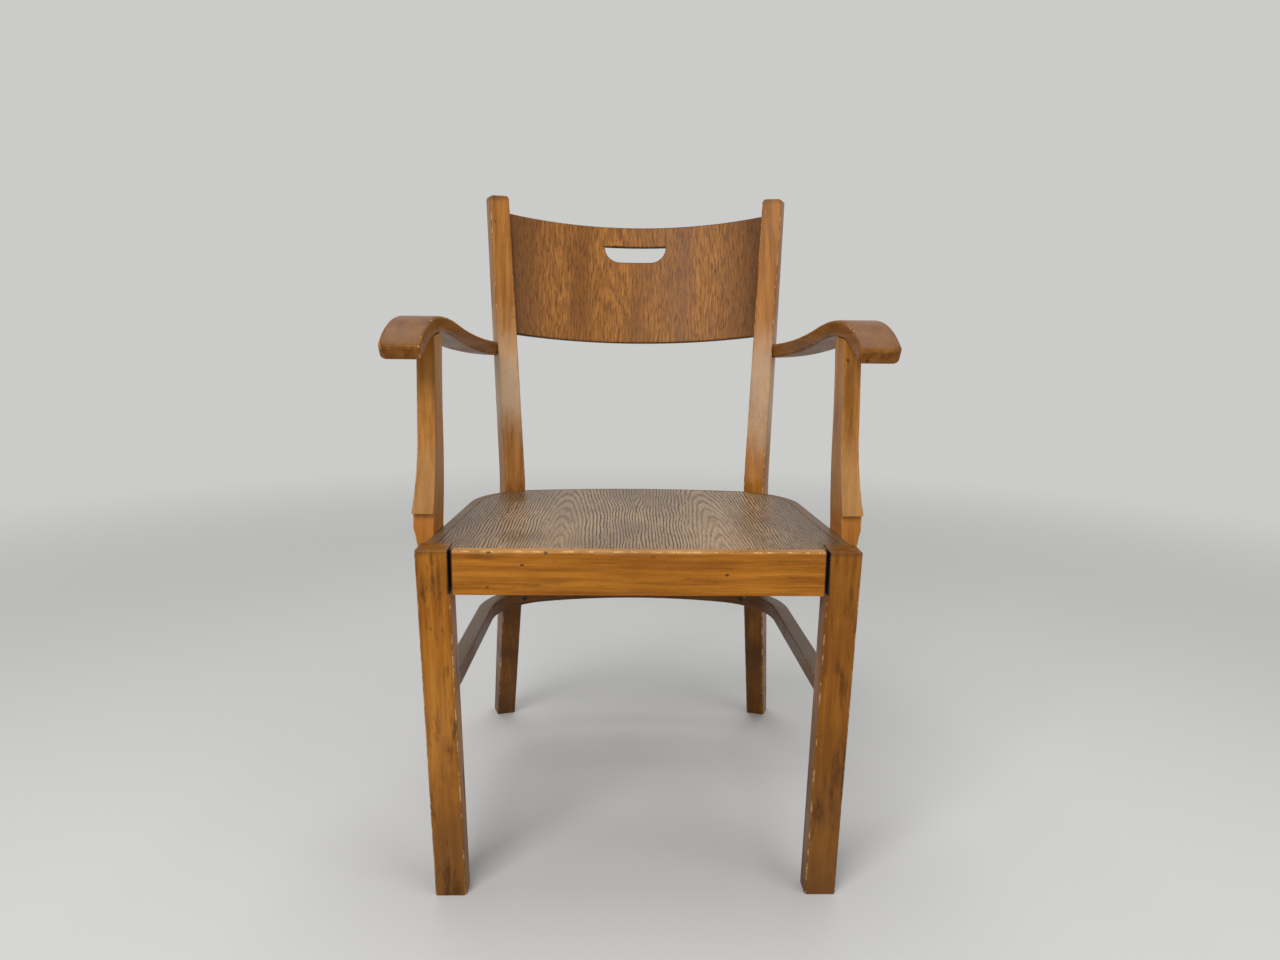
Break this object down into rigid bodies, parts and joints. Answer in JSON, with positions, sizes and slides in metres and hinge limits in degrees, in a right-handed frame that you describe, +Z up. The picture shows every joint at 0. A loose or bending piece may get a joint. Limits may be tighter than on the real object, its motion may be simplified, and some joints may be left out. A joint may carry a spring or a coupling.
{
  "type": "captains chair",
  "caption": "Wooden captains chair with a bent seat frame, veneered seat and backrest, curved arms and a hoop between the legs.",
  "frame": {"origin": "on the floor below the middle of the chair's outer box", "axes": "+Z up, +Y to the back of the chair, +X to the right as seen from the front"},
  "size_m": [0.596, 0.5702, 0.888],
  "materials": {
    "beech": "worn honey varnish",
    "seat_veneer": "worn semi-gloss varnish over open grain",
    "back_veneer": "satin varnish",
    "raw_wood": "unfinished",
    "screws": "darkened"
  },
  "bodies": {
    "root": {"front_leg_left": "beech", "front_leg_right": "beech", "front_rail": "beech", "seat_ring": "beech", "under_hoop": "beech", "rear_post_left": "beech", "rear_post_right": "beech", "arm_post_left": "beech", "arm_post_right": "beech", "armrest_left": "beech", "armrest_right": "beech", "seat_panel": "seat_veneer", "backrest_panel": "back_veneer", "corner_block_left": "raw_wood", "corner_block_right": "raw_wood", "arm_front_dowels": "raw_wood", "hoop_front_dowels": "raw_wood", "ring_post_screws": "screws", "arm_post_screws": "screws", "hoop_rear_screws": "screws", "arm_rear_screws": "screws", "corner_block_screws": "screws"}
  },
  "joints": []
}
